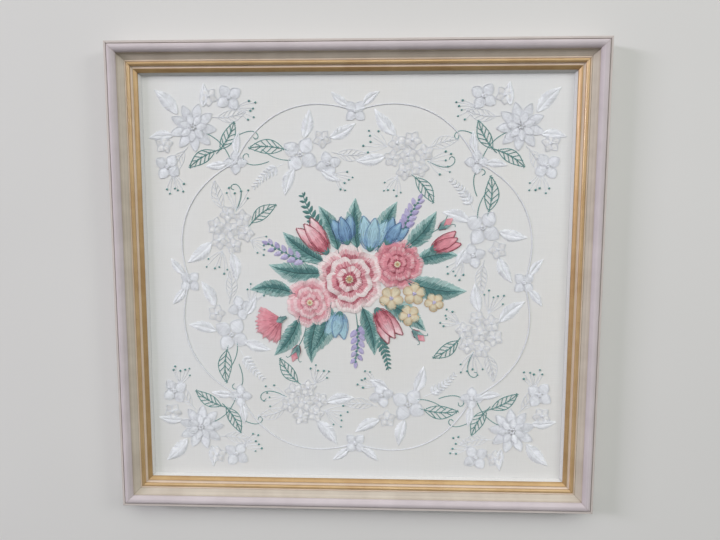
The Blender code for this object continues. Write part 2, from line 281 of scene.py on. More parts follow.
def vector_maths(tree, operation, first, second=(0, 0, 0)):
    return add(tree, "ShaderNodeVectorMath", {0: first, 1: second}, operation=operation).outputs[0]


def scaled(tree, vector, factor):
    inputs = {0: vector, "Scale": factor}
    return add(tree, "ShaderNodeVectorMath", inputs, operation="SCALE").outputs[0]


def blended(tree, factor, first, second, blend="MIX"):
    inputs = {0: factor, 6: first, 7: second}
    return add(tree, "ShaderNodeMix", inputs, data_type="RGBA", blend_type=blend).outputs[2]


def spread(tree, value, low, high, to_low=0.0, to_high=1.0):
    """A value's range mapped to another and clamped."""
    inputs = {"Value": value, "From Min": low, "From Max": high, "To Min": to_low, "To Max": to_high}
    return add(tree, "ShaderNodeMapRange", inputs).outputs[0]


def grain(tree, vector, scale, detail=3.0, roughness=0.55):
    inputs = {"Vector": vector, "Scale": scale, "Detail": detail, "Roughness": roughness}
    return add(tree, "ShaderNodeTexNoise", inputs).outputs["Fac"]


def stored(tree, geometry, name, data_type, value):
    """The geometry with a value kept on its points under a name."""
    inputs = {"Geometry": geometry, "Name": name, "Value": value}
    made = add(tree, "GeometryNodeStoreNamedAttribute", inputs, data_type=data_type, domain="POINT")
    return made.outputs["Geometry"]


def new_group(name, kind, sockets):
    """A node group: sockets are (in or out, name, type, value). Returns it with its two ends."""
    tree = bpy.data.node_groups.new(name, kind)
    for way, label, socket_type, value in sockets:
        in_out = {"in": "INPUT", "out": "OUTPUT"}[way]
        socket = tree.interface.new_socket(name=label, in_out=in_out, socket_type=socket_type)
        if value is not None:
            socket.default_value = value
    return tree, add(tree, "NodeGroupInput").outputs, add(tree, "NodeGroupOutput").inputs


def colour(hex_code):
    """A hex colour as linear red, green, blue and alpha."""
    channels = [int(hex_code[i:i + 2], 16) / 255 for i in (0, 2, 4)]
    return (*(c / 12.92 if c <= 0.04045 else ((c + 0.055) / 1.055) ** 2.4 for c in channels), 1.0)


# Effects that several finishes share


def make_moulding_run():
    """Where a point lies on the moulding, along and in from its edge, and the dark joint at a mitre."""
    tree, inputs, outputs = new_group("moulding_run", "ShaderNodeTree", (
        ("in", "Position", "NodeSocketVector", None),
        ("out", "Run", "NodeSocketVector", None),
        ("out", "Joint", "NodeSocketFloat", None),
    ))
    place = add(tree, "ShaderNodeSeparateXYZ", {0: inputs["Position"]}).outputs
    from_side = maths(tree, "SUBTRACT", HALF_WIDTH, maths(tree, "ABSOLUTE", place["X"]))
    from_end = maths(tree, "SUBTRACT", HALF_HEIGHT, maths(tree, "ABSOLUTE", place["Y"]))
    on_side = maths(tree, "LESS_THAN", from_side, from_end)
    mix = {0: on_side, 2: place["X"], 3: place["Y"]}
    along = add(tree, "ShaderNodeMix", mix, data_type="FLOAT").outputs[0]
    from_edge = maths(tree, "MINIMUM", from_side, from_end)
    run = add(tree, "ShaderNodeCombineXYZ", {"X": along, "Y": from_edge, "Z": place["Z"]}).outputs[0]
    from_mitre = maths(tree, "ABSOLUTE", maths(tree, "SUBTRACT", from_side, from_end))
    tree.links.new(run, outputs["Run"])
    tree.links.new(spread(tree, from_mitre, *JOINT_EDGES, JOINT_STRENGTH, 0.0), outputs["Joint"])
    return tree


def make_brushed_coat():
    """Brush marks that run along a coat of paint or size, and the cloudiness under them."""
    tree, inputs, outputs = new_group("brushed_coat", "ShaderNodeTree", (
        ("in", "Run", "NodeSocketVector", None),
        ("in", "Mark Length", "NodeSocketFloat", 0.06),
        ("in", "Mark Width", "NodeSocketFloat", 0.0006),
        ("out", "Marks", "NodeSocketFloat", None),
        ("out", "Clouds", "NodeSocketFloat", None),
    ))
    lengthwise = maths(tree, "DIVIDE", 1.0, inputs["Mark Length"])
    crosswise = maths(tree, "DIVIDE", 1.0, inputs["Mark Width"])
    ends = {"X": lengthwise, "Y": crosswise, "Z": crosswise}
    scale = add(tree, "ShaderNodeCombineXYZ", ends).outputs[0]
    stretched = vector_maths(tree, "MULTIPLY", inputs["Run"], scale)
    tree.links.new(grain(tree, stretched, 1.0, 4.0), outputs["Marks"])
    tree.links.new(grain(tree, inputs["Run"], 38.0, 3.0), outputs["Clouds"])
    return tree


def make_plain_weave():
    """Threads over and under each other, with slubs: a height, and a shade that varies by thread."""
    tree, inputs, outputs = new_group("plain_weave", "ShaderNodeTree", (
        ("in", "Position", "NodeSocketVector", None),
        ("in", "Thread Pitch", "NodeSocketFloat", WEAVE_PITCH),
        ("out", "Height", "NodeSocketFloat", None),
        ("out", "Shade", "NodeSocketFloat", None),
    ))
    place = add(tree, "ShaderNodeSeparateXYZ", {0: inputs["Position"]}).outputs
    turns = maths(tree, "DIVIDE", math.pi, inputs["Thread Pitch"])
    warp = maths(tree, "SINE", maths(tree, "MULTIPLY", place["X"], turns))
    weft = maths(tree, "SINE", maths(tree, "MULTIPLY", place["Y"], turns))
    height = spread(tree, maths(tree, "MULTIPLY", warp, weft), -1.0, 1.0)
    warp_scale = vector_maths(tree, "MULTIPLY", inputs["Position"], (2200.0, 40.0, 40.0))
    weft_scale = vector_maths(tree, "MULTIPLY", inputs["Position"], (40.0, 2200.0, 40.0))
    slubs = maths(tree, "ADD", grain(tree, warp_scale, 1.0, 1.0), grain(tree, weft_scale, 1.0, 1.0))
    tree.links.new(height, outputs["Height"])
    tree.links.new(maths(tree, "MULTIPLY", slubs, 0.5), outputs["Shade"])
    return tree


MOULDING_RUN = make_moulding_run()
BRUSHED_COAT = make_brushed_coat()
PLAIN_WEAVE = make_plain_weave()


# Finishes


def new_finish(name):
    """A material with its tree, its shader and the object's own coordinates."""
    material = bpy.data.materials.new(name)
    material.use_nodes = True
    tree = material.node_tree
    place = add(tree, "ShaderNodeTexCoord").outputs["Object"]
    return material, tree, tree.nodes["Principled BSDF"].inputs, place


def effect(tree, group, inputs):
    return add(tree, "ShaderNodeGroup", inputs, node_tree=group).outputs


def bumped(tree, shader, height, distance, strength=1.0):
    inputs = {"Height": height, "Distance": distance, "Strength": strength}
    tree.links.new(add(tree, "ShaderNodeBump", inputs).outputs[0], shader["Normal"])


def painted_finish(name, light, dark, mitre_dark, roughness):
    """Satin paint, brushed along the moulding, cloudy, and darker where it gathers at a mitre."""
    material, tree, shader, place = new_finish(name)
    run = effect(tree, MOULDING_RUN, {"Position": place})
    coat = effect(tree, BRUSHED_COAT, {"Run": run["Run"], "Mark Length": 0.30, "Mark Width": 0.0011})
    clouds = spread(tree, coat["Clouds"], 0.35, 0.68)
    base = blended(tree, clouds, colour(light), colour(dark))
    marks = spread(tree, coat["Marks"], 0.3, 0.7, 0.90, 1.05)
    base = blended(tree, 1.0, base, marks, "MULTIPLY")
    base = blended(tree, run["Joint"], base, colour(mitre_dark))
    tree.links.new(base, shader["Base Color"])
    satin = spread(tree, coat["Marks"], 0.3, 0.7, roughness, roughness + 0.14)
    tree.links.new(satin, shader["Roughness"])
    shader["Specular IOR Level"].default_value = 0.3
    bumped(tree, shader, coat["Marks"], 0.00008)
    return material


def gilded_finish(name, light, dark, coat_weight):
    """Gold paint over a brown ground: rubbed thin in places, browner at the mitres."""
    material, tree, shader, place = new_finish(name)
    run = effect(tree, MOULDING_RUN, {"Position": place})
    coat = effect(tree, BRUSHED_COAT, {"Run": run["Run"], "Mark Length": 0.03, "Mark Width": 0.0007})
    clouds = spread(tree, coat["Clouds"], 0.3, 0.7)
    base = blended(tree, clouds, colour(light), colour(dark))
    marks = spread(tree, coat["Marks"], 0.3, 0.72, 0.88, 1.06)
    base = blended(tree, 1.0, base, marks, "MULTIPLY")
    rubbed = spread(tree, grain(tree, run["Run"], 420.0, 4.0), 0.62, 0.72)
    ground = maths(tree, "MAXIMUM", maths(tree, "MULTIPLY", rubbed, 0.35), run["Joint"])
    tree.links.new(blended(tree, ground, base, colour("7A5330")), shader["Base Color"])
    tree.links.new(spread(tree, ground, 0.0, 1.0, 0.3, 0.1), shader["Metallic"])
    tree.links.new(spread(tree, coat["Marks"], 0.3, 0.7, 0.36, 0.50), shader["Roughness"])
    shader["Coat Weight"].default_value = coat_weight
    shader["Coat Roughness"].default_value = 0.16
    bumped(tree, shader, coat["Marks"], 0.00006)
    return material


def bare_wood_finish(name):
    """Unpainted softwood behind the face, its grain along the moulding."""
    material, tree, shader, place = new_finish(name)
    run = effect(tree, MOULDING_RUN, {"Position": place})
    coat = effect(tree, BRUSHED_COAT, {"Run": run["Run"], "Mark Length": 0.12, "Mark Width": 0.0016})
    base = blended(tree, spread(tree, coat["Marks"], 0.35, 0.65), colour("C9A67A"), colour("A98255"))
    base = blended(tree, spread(tree, coat["Clouds"], 0.45, 0.75, 0.0, 0.3), base, colour("8C6A45"))
    tree.links.new(base, shader["Base Color"])
    shader["Roughness"].default_value = 0.72
    bumped(tree, shader, coat["Marks"], 0.0001)
    return material


def board_finish(name, light, dark, roughness, fibre):
    """Pressed fibre: short strands in every direction."""
    material, tree, shader, place = new_finish(name)
    strands = grain(tree, place, fibre, 6.0, 0.7)
    patches = grain(tree, place, 22.0, 2.0)
    base = blended(tree, spread(tree, strands, 0.35, 0.65), colour(light), colour(dark))
    base = blended(tree, spread(tree, patches, 0.4, 0.7, 0.0, 0.25), base, colour(dark))
    tree.links.new(base, shader["Base Color"])
    shader["Roughness"].default_value = roughness
    bumped(tree, shader, strands, 0.00012)
    return material


def cotton_ground_finish(name):
    """The cream ground: plain weave with slubs, a little warmer in patches."""
    material, tree, shader, place = new_finish(name)
    weave = effect(tree, PLAIN_WEAVE, {"Position": place, "Thread Pitch": WEAVE_PITCH})
    warmth = spread(tree, grain(tree, place, 7.0, 2.0), 0.35, 0.7)
    base = blended(tree, warmth, colour("E4E6E7"), colour("E4E4E2"))
    slubs = spread(tree, weave["Shade"], 0.35, 0.65, 0.975, 1.015)
    base = blended(tree, 1.0, base, slubs, "MULTIPLY")
    tree.links.new(base, shader["Base Color"])
    shader["Roughness"].default_value = 0.85
    shader["Sheen Weight"].default_value = 0.08
    shader["Sheen Roughness"].default_value = 0.5
    bumped(tree, shader, weave["Height"], 0.00006, 0.6)
    return material


def thread_finish(name, roughness):
    """Stranded cotton in its own dye, with the twist of its strands."""
    material, tree, shader, place = new_finish(name)
    dye = add(tree, "ShaderNodeAttribute", attribute_name="dye").outputs["Color"]
    mottle = spread(tree, grain(tree, place, 160.0, 2.0), 0.3, 0.7, 0.93, 1.05)
    base = blended(tree, 1.0, dye, mottle, "MULTIPLY")
    tree.links.new(base, shader["Base Color"])
    shader["Roughness"].default_value = roughness
    shader["Sheen Weight"].default_value = 0.1
    shader["Sheen Roughness"].default_value = 0.4
    twist = add(tree, "ShaderNodeAttribute", attribute_name="twist").outputs["Fac"]
    strands = maths(tree, "SINE", maths(tree, "MULTIPLY", twist, math.tau))
    bumped(tree, shader, strands, 0.00004, 0.5)
    return material


EDGE_PAINT = painted_finish("edge_paint", "CFC7C3", "C8C0BC", "A3958F", 0.56)
LAVENDER_PAINT = painted_finish("lavender_paint", "D0C7CB", "C8BFC3", "A3958F", 0.56)
TAUPE_PAINT = painted_finish("taupe_paint", "D0C7BA", "C4BAAD", "8B8176", 0.56)
CREAM_PAINT = painted_finish("cream_paint", "E0CFBE", "D8C5B1", "91857A", 0.50)
GILDING = gilded_finish("gilding", "D3B485", "BE9B6B", 0.6)
LIP_GILDING = gilded_finish("lip_gilding", "C3A373", "AF8B5D", 0.1)
BARE_WOOD = bare_wood_finish("bare_wood")
WHITE_BOARD = board_finish("white_board", "E1E1E0", "D5D5D4", 0.8, 900.0)
BROWN_BOARD = board_finish("brown_board", "8A6544", "6B4A30", 0.7, 420.0)
COTTON_GROUND = cotton_ground_finish("cotton_ground")
COTTON_THREAD = thread_finish("cotton_thread", 0.55)


# The frame


# The moulding's members from its outer edge: where each ends, and its finish
MEMBER_ENDS = (
    (0.0032, EDGE_PAINT),
    (0.0110, LAVENDER_PAINT),
    (0.0168, TAUPE_PAINT),
    (0.0183, CREAM_PAINT),
    (0.0223, GILDING),
    (0.0247, CREAM_PAINT),
    (0.0281, LIP_GILDING),
)
MOULDING_FINISHES = (
    EDGE_PAINT, LAVENDER_PAINT, TAUPE_PAINT, CREAM_PAINT, GILDING, LIP_GILDING, BARE_WOOD)


def inward(point):
    """How far a point is in from the frame's outer edge."""
    return min(HALF_WIDTH - abs(point.x), HALF_HEIGHT - abs(point.y))


def copy_of_node(node, name):
    """A CAD node's mesh with its triangles joined, as a new piece."""
    mesh = bpy.data.meshes.new(name)
    shape = bmesh.new()
    shape.from_mesh(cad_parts[node].data)
    bmesh.ops.remove_doubles(shape, verts=shape.verts, dist=1e-6)
    shape.to_mesh(mesh)
    shape.free()
    normals = mesh.attributes.get("custom_normal")
    if normals is not None:
        mesh.attributes.remove(normals)
    mesh.materials.clear()
    piece = bpy.data.objects.new(name, mesh)
    bpy.context.scene.collection.objects.link(piece)
    return piece


def member_finish(face):
    """The finish of the moulding's member that a face belongs to."""
    if face.normal.z < -0.5:
        return BARE_WOOD
    middle = inward(face.center)
    for end, finish in MEMBER_ENDS:
        if middle < end:
            return finish
    return BARE_WOOD


def close_mitres(rail, side):
    """Runs a rail's two ends up to the mitre, where its neighbours meet it."""
    for vertex in rail.data.vertices:
        place = vertex.co
        if side in ("bottom", "top"):
            end = HALF_WIDTH - (HALF_HEIGHT - abs(place.y))
            place.x = math.copysign(end - MITRE_SEAM, place.x)
        else:
            end = HALF_HEIGHT - (HALF_WIDTH - abs(place.x))
            place.y = math.copysign(end - MITRE_SEAM, place.y)


def build_moulding():
    for side in SIDES:
        rail = copy_of_node("rail_" + side, "moulding_" + side)
        close_mitres(rail, side)
        for finish in MOULDING_FINISHES:
            rail.data.materials.append(finish)
        for face in rail.data.polygons:
            face.material_index = MOULDING_FINISHES.index(member_finish(face))
        rail.data.shade_smooth()
        rail.data.set_sharp_from_angle(angle=math.radians(33))
        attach(rail, "root")
        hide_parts("rail_" + side)


def build_slips():
    for side in SIDES:
        slip = copy_of_node("slip_" + side, "bevelled_slip_" + side)
        slip.data.materials.append(WHITE_BOARD)
        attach(slip, "root")
        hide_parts("slip_" + side)


def finish_backing_board():
    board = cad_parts["backing_board"]
    board.data.materials.clear()
    board.data.materials.append(BROWN_BOARD)


# The ground


GROUND_STEPS = 100
GROUND_WAVER = 0.00012
GROUND_FADE = 0.03            # how far in from its edges the cloth is level


def ground_height(x, y):
    """The taut cloth's slight unevenness, none at its edges."""
    far = min(CLOTH_HIGH.x - abs(x), CLOTH_HIGH.y - abs(y), GROUND_FADE) / GROUND_FADE
    slow = noise.noise(Vector((x * 9, y * 9, 0.3)))
    quick = noise.noise(Vector((x * 34, y * 34, 4.1)))
    return GROUND_WAVER * max(far, 0.0) * (slow + 0.35 * quick)


def build_ground():
    shape = bmesh.new()
    bmesh.ops.create_grid(shape, x_segments=GROUND_STEPS, y_segments=GROUND_STEPS, size=1)
    for vertex in shape.verts:
        x = vertex.co.x * CLOTH_HIGH.x
        y = vertex.co.y * CLOTH_HIGH.y
        vertex.co = (x, y, CLOTH_FACE + ground_height(x, y))
    mesh = bpy.data.meshes.new("cotton_ground")
    shape.to_mesh(mesh)
    shape.free()
    mesh.materials.append(COTTON_GROUND)
    ground = bpy.data.objects.new("cotton_ground", mesh)
    bpy.context.scene.collection.objects.link(ground)
    solid = ground.modifiers.new("thickness", "SOLIDIFY")
    solid.thickness = CLOTH_THICKNESS
    solid.offset = -1
    mesh.shade_smooth()
    return as_plain_mesh(ground)


def as_plain_mesh(piece):
    """A piece with its modifiers' result as its own mesh."""
    evaluated = piece.evaluated_get(bpy.context.evaluated_depsgraph_get())
    mesh = bpy.data.meshes.new_from_object(evaluated)
    mesh.name = piece.name
    piece.modifiers.clear()
    piece.data = mesh
    return piece


# Stitching. What is to be worked is kept by piece: threads are (start, end, low, high, pad, dye),
# lines are (points, closed, dye, height) and knots are (place, dye, height). Places are complex.


class Stitching:
    """The threads, lines and knots still to be worked."""

    def __init__(self):
        self.threads = {}
        self.lines = {}
        self.knots = []

    def add_threads(self, name, threads):
        self.threads.setdefault(name, []).extend(threads)

    def add_line(self, name, points, dye, height=0.0, closed=False):
        self.lines.setdefault(name, []).append((points, closed, dye, height))

    def add_copy(self, other, move):
        """Adds another's work with every place moved."""
        for name, threads in other.threads.items():
            self.add_threads(name, [(move(start), move(end), *rest) for start, end, *rest in threads])
        for name, lines in other.lines.items():
            for points, closed, dye, height in lines:
                self.add_line(name, [move(point) for point in points], dye, height, closed)
        self.knots += [(move(place), dye, height) for place, dye, height in other.knots]


def mixed(first, second, share):
    share = min(max(share, 0.0), 1.0)
    return tuple(a + (b - a) * share for a, b in zip(first, second))


def ramp(shades, share):
    """A dye between neighbouring shades, from the first at 0 to the last at 1."""
    place = min(max(share, 0.0), 0.999) * (len(shades) - 1)
    return mixed(shades[int(place)], shades[int(place) + 1], place % 1.0)


def turn_by(degrees):
    return cmath.rect(1.0, math.radians(degrees))


def uneven(rand, dye):
    shade = rand.uniform(0.95, 1.03)
    return tuple(channel * shade for channel in dye)


def long_and_short(rand, reach, dye, height, columns, rows, root, jag=0.0):
    """Rows of stitches of uneven length from a rim to its root, each begun in the end of the last."""
    threads = []
    depth = (1.0 - root) / rows
    for row in range(rows):
        outer = 1.0 - depth * row
        count = max(3, round(columns(outer, outer - depth) / PITCH))
        for step in range(count):
            across = (step + rand.uniform(0.2, 0.8)) / count
            top = outer - rand.uniform(0.0, jag) if row == 0 else outer + depth * rand.uniform(-0.1, 0.45)
            foot = max(outer - depth * rand.uniform(0.95, 1.45), root)
            shade = dye(across, (top + foot) / 2 + depth * rand.uniform(-0.3, 0.3))
            begun, ended = reach(across, top), reach(across, foot)
            threads.append((begun, ended, height(top), height(foot), THREAD_ARCH, shade))
    return threads


def fan_petal(rand, base, way, length, half_spread, shades, low, high, rows, root, jag=0.0):
    """A petal that fans out from its base, deeper at its root and where the next one covers it."""
    half = math.radians(half_spread)

    def reach(across, share):
        side = 2 * across - 1
        far = length * (1 - 0.20 * abs(side) ** 2.6 + 0.028 * math.sin(8 * side))
        return base + way * cmath.rect(far * share, side * half)

    def dye(across, share):
        under = max(0.0, (across - 0.74) / 0.26) * 0.6
        return mixed(ramp(shades, (1 - share) / (1 - root)), shades[-1], under)

    def height(share):
        return low + (high - low) * (1 - share)

    def columns(outer, _):
        return 2 * half * length * outer

    return long_and_short(rand, reach, dye, height, columns, rows, root, jag)


def almond(share):
    """An almond's half-width along it, from its root at 0 to its tip at 1, at most 1."""
    return math.sin(math.pi * min(max(share, 0.0), 1.0) ** 0.8) ** 0.75


def almond_petal(rand, base, way, length, slim, shades, low, rows):
    """A pointed petal, shaded from its tip to its root."""
    def reach(across, share):
        return base + way * length * complex(share, (2 * across - 1) * slim * almond(share))

    def dye(across, share):
        edge = abs(2 * across - 1) ** 3 * 0.35
        return ramp(shades, 1 - share + edge)

    def height(share):
        return low + PETAL_CROWN * math.sin(math.pi * min(max(share, 0.0), 1.0))

    def columns(outer, inner):
        return 2 * length * slim * max(almond(outer), almond(inner))

    return long_and_short(rand, reach, dye, height, columns, rows, 0.03)


def almond_rim(base, way, length, slim):
    steps = [step / 9 for step in range(1, 10)]
    upper = [complex(t, slim * almond(t) + 0.012) for t in steps]
    lower = [point.conjugate() for point in reversed(upper[:-1])]
    return [base + way * length * point for point in [0j] + upper + lower]


POPPY_TIERS = (
    # petals, share of the flower's radius, half-spread, height at rim and root, rows, root
    (6, 1.00, 37, 0.0003, 0.0010, 4, 0.48),
    (5, 0.68, 41, 0.0010, 0.0016, 3, 0.38),
    (4, 0.38, 47, 0.0016, 0.0019, 2, 0.20),
)


def poppy(work, rand, spot, way, radius, shades):
    """An open double flower: three tiers of petals round a heart of knots."""
    for tier, (petals, share, half_spread, low, high, rows, root) in enumerate(POPPY_TIERS):
        for petal in range(petals):
            petal_way = way * turn_by(360 * petal / petals + 31 * tier + rand.uniform(-5, 5))
            over = OVERLAP_LIFT * (petal % 2)
            length = radius * share * rand.uniform(0.95, 1.03)
            threads = fan_petal(
                rand, spot, petal_way, length, half_spread, shades, low + over, high + over, rows, root)
            work.add_threads("poppies_in_pink", threads)
    for ring, count, dye in ((0.03, 4, TAN), (0.09, 9, YELLOW)):
        for step in range(count):
            place = spot + cmath.rect(radius * ring, math.tau * step / count + ring * 9)
            work.knots.append((place, colour(dye), POPPY_HEART))


# Length, half-width and pad of a calyx's leaf, and of the green cup that holds a lilac bud
CALYX_LEAF = (0.008, 0.0016, 0.0012)
LILAC_CUP = (0.0035, 0.0012, 0.0012)
CALYX_HEIGHT = 0.0004
LILAC_BUD = 0.0105
LILAC_PAD = 0.0010
CUPS = {
    # form: turns of its petals, half-width to length, rows
    "tulip": ((-13, 13, 0), 0.17, 4),
    "bell": ((-20, 20, 0), 0.21, 3),
}


def cup_flower(work, rand, form, spot, way, length, shades):
    """A flower from its side: two petals behind and one before, and a small calyx."""
    turns, slim, rows = CUPS[form]
    for order, turn in enumerate(turns):
        low = PETAL_LOW + FRONT_LIFT * (order == 2)
        petal_way = way * turn_by(turn)
        reach = length * (1.0 if turn else 0.94)
        threads = almond_petal(rand, spot, petal_way, reach, slim, shades, low, rows)
        work.add_threads("small_blossoms", threads)
        rim = almond_rim(spot, petal_way, reach, slim)
        work.add_line("fine_outlines", rim, shades[-1], low + OUTLINE_LIFT)
    base = spot - way * 0.001
    for turn in (-34, 34, 0):
        leaf_way = way * turn_by(turn)
        threads = satin_petal(rand, base, leaf_way, *CALYX_LEAF, colour(GREEN), CALYX_HEIGHT)
        work.add_threads("leaves_in_green", threads)


def carnation(work, rand, spot, way, length, shades):
    """A fan of narrow petals with jagged ends over a green cup."""
    for order, turn in enumerate((-48, 48, -32, 32, -16, 16, 0)):
        low = PETAL_LOW + FAN_LIFT * order
        reach = length * (1 - 0.1 * abs(turn) / 48)
        petal_way = way * turn_by(turn)
        threads = fan_petal(
            rand, spot, petal_way, reach, 11, shades, low, low + FAN_RISE, 3, 0.18, 0.12)
        work.add_threads("small_blossoms", threads)
    greens = [colour(PALE_GREEN), colour(DEEP_GREEN)]
    cup = almond_petal(rand, spot - way * 0.006, way, 0.014, 0.28, greens, 0.0010, 2)
    work.add_threads("leaves_in_green", cup)


STAR_PETALS, STAR_CLEFT = 5, 0.36


def star_reach(radius, angle):
    return radius * (1 - STAR_CLEFT + STAR_CLEFT * abs(math.sin(STAR_PETALS * angle / 2)) ** 0.6)


def star(work, rand, spot, way, radius, shades):
    """A small flower in satin stitch from its middle outwards, with a fine outline."""
    count = int(math.tau * radius * 0.8 / PITCH)
    threads = []
    for step in range(count):
        angle = math.tau * step / count
        fold = abs(math.sin(STAR_PETALS * angle / 2))
        dye = uneven(rand, mixed(shades[-1], shades[0], 0.3 + fold))
        near = spot + way * cmath.rect(radius * 0.16, angle)
        far = spot + way * cmath.rect(star_reach(radius, angle), angle)
        threads.append((near, far, STAR_ROOT, STAR_RIM, STAR_PAD, dye))
    work.add_threads("small_blossoms", threads)
    angles = [math.tau * step / 45 for step in range(45)]
    rim = [spot + way * cmath.rect(star_reach(radius, angle), angle) for angle in angles]
    work.add_line("fine_outlines", rim, shades[-1], STAR_RIM, closed=True)
    for angle in (0, 2.1, 4.2):
        work.knots.append((spot + cmath.rect(radius * 0.1, angle), colour(LILAC), STAR_HEART))


def satin_half_width(half_width, along):
    """A padded petal's half-width along it, from its root at 0 to its tip at 1."""
    return half_width * math.sin(math.pi * along ** 0.85) ** 0.75


def satin_petal(rand, base, way, length, half_width, pad, dye, low=0.0):
    """A padded petal, leaflet or bud, each stitch across it from edge to edge."""
    threads = []
    count = max(4, int(length / PITCH))
    for step in range(1, count):
        along = step / count
        half = satin_half_width(half_width, along)
        slant = 0.10 * half_width
        left = base + way * complex(length * along - slant, half)
        right = base + way * complex(length * along + slant, -half)
        arch = pad * (0.35 + 0.65 * half / half_width)
        threads.append((left, right, low, low, arch, uneven(rand, dye)))
    return threads


def satin_rim(base, way, length, half_width):
    upper = []
    for step in range(1, 8):
        along = step / 8
        upper.append(complex(length * along, satin_half_width(half_width, along) + RIM_GAP))
    lower = [point.conjugate() for point in reversed(upper)]
    return [base + way * point for point in [0j] + upper + [complex(length + RIM_GAP, 0)] + lower]


PADDED = {
    # form: tiers of (petals, how far out a petal starts and ends, half-width to length, pad, height)
    "daisy": ((9, 0.34, 1.00, 0.28, 0.0006, 0.0), (7, 0.14, 0.60, 0.30, 0.0006, 0.0006)),
    "dogwood": ((4, 0.16, 1.00, 0.44, 0.0007, 0.0),),
    "floret": ((5, 0.12, 1.00, 0.42, 0.0006, 0.0),),
}


def padded_blossom(work, rand, form, spot, way, radius):
    """A white flower in padded satin stitch with fine outlines, and knots at its heart."""
    white = colour(WARM_WHITE if form == "floret" else WHITE)
    for petals, inner, outer, slim, pad, low in PADDED[form]:
        for petal in range(petals):
            petal_way = way * turn_by(360 * (petal + 0.5) / petals)
            base = spot + petal_way * radius * inner
            length = radius * (outer - inner)
            threads = satin_petal(rand, base, petal_way, length, length * slim, pad, white, low)
            work.add_threads("padded_white_blossoms", threads)
            rim = satin_rim(base, petal_way, length, length * slim)
            # the outline is worked in SHADED_WHITE, a darker white that stands in for the shade along the
            # petal's edge
            work.add_line("white_outlines", rim, colour(SHADED_WHITE), low + WHITE_RIM, closed=True)
    knots = 3 if form == "floret" else 6
    for step in range(knots):
        place = spot + cmath.rect(radius * 0.09, math.tau * step / knots)
        work.knots.append((place, colour(SHADED_WHITE), PADDED[form][-1][-1] + WHITE_RIM))


def leaf_point(length, bow, along, side=0.0):
    """A point of a lance leaf: along it from 0 to 1, and to its side in metres; its rib is bowed."""
    return complex(length * along, side + bow * length * 4 * along * (1 - along))


def leaf_half_width(length, along):
    return length * LEAF_SLENDERNESS / 2 * math.sin(math.pi * min(max(along, 0.0), 1.0) ** 0.85)


def shaded_leaf(work, rand, base, way, length, bow):
    """A leaf in two rows each side of its rib, toothed at its edge and darker along the rib."""
    dark, middle, light = colour(DEEP_GREEN), colour(GREEN), colour(PALE_GREEN)
    threads = []
    count = int(length / PITCH)
    teeth = max(5, int(length / 0.0065))
    for side, deep in ((1, 0.0), (-1, 0.4)):
        for step in range(count):
            along = (step + 0.5) / count
            tooth = 0.92 + 0.12 * ((along * teeth) % 1.0) + rand.uniform(-0.08, 0.06)
            wide = side * tooth * leaf_half_width(length, along)
            edge = base + way * leaf_point(length, bow, along, wide)
            rib = base + way * leaf_point(length, bow, max(along - 0.15, 0.0))
            split = rand.uniform(0.35, 0.62)
            outer_dye = ramp((middle, light), 0.75 - deep + 0.3 * along + rand.uniform(-0.3, 0.3))
            inner_dye = ramp((dark, middle, light), 0.42 - deep / 2 + rand.uniform(-0.22, 0.3))
            inner = edge + (rib - edge) * (split + 0.15)
            outer = edge + (rib - edge) * split
            threads.append((edge, inner, 0.0, LEAF_CREST, LEAF_ARCH, outer_dye))
            threads.append((outer, rib, LEAF_CREST, RIB_FOOT, LEAF_ARCH, inner_dye))
    work.add_threads("leaves_in_green", threads)
    ribs = [base + way * leaf_point(length, bow, along) for along in (-0.06, 0.1, 0.3, 0.5, 0.7, 0.92)]
    work.add_line("fine_outlines", ribs, mixed(dark, colour("000000"), 0.25), LEAF_CREST)


def white_leaf(work, rand, base, way, length, bow=0.05):
    """A padded leaf in two slanting halves, feathered at its edge."""
    threads = []
    count = int(length / PITCH)
    for side in (1, -1):
        for step in range(count):
            along = (step + 0.5) / count
            wide = leaf_half_width(length, along) * rand.uniform(0.9, 1.12)
            rib = base + way * leaf_point(length, bow, max(along - 0.14, 0.0), side * RIB_SLIT)
            edge = base + way * leaf_point(length, bow, along, side * wide)
            threads.append((rib, edge, 0.0, 0.0, WHITE_LEAF_PAD, uneven(rand, colour(WHITE))))
    work.add_threads("padded_white_leaves", threads)


def outlined_leaf(work, name, base, way, length, dye, bow=0.06):
    """A leaf in lines alone: its outline, its rib and its side veins."""
    steps = [step / 12 for step in range(13)]
    upper = [leaf_point(length, bow, t, leaf_half_width(length, t)) for t in steps]
    lower = [leaf_point(length, bow, t, -leaf_half_width(length, t)) for t in reversed(steps[1:-1])]
    work.add_line(name, [base + way * point for point in upper + lower], dye, closed=True)
    rib = [base + way * leaf_point(length, bow, t) for t in (-0.15, 0.0, 0.2, 0.4, 0.6, 0.8, 0.95)]
    work.add_line(name, rib, dye, RIB_LIFT)
    for along in (0.16, 0.32, 0.48, 0.64):
        for side in (1, -1):
            end = along + 0.16
            root = base + way * leaf_point(length, bow, along)
            tip = base + way * leaf_point(length, bow, end, side * 0.86 * leaf_half_width(length, end))
            work.add_line(name, [root, tip], dye, VEIN_LIFT)


def curled(base, way, length, bend):
    """A line that curls tighter towards its end."""
    points = [base]
    steps = 26
    for step in range(steps):
        share = step / steps
        way *= turn_by(bend * (2.0 + 30 * share ** 2.4))
        points.append(points[-1] + way * length / steps * (1 - 0.45 * share))
    return points


def bowed(start, end, bow):
    """A line from one place to another that bows to its left."""
    span = end - start
    return [start + span * t + 1j * span * bow * 4 * t * (1 - t) for t in (i / 12 for i in range(13))]


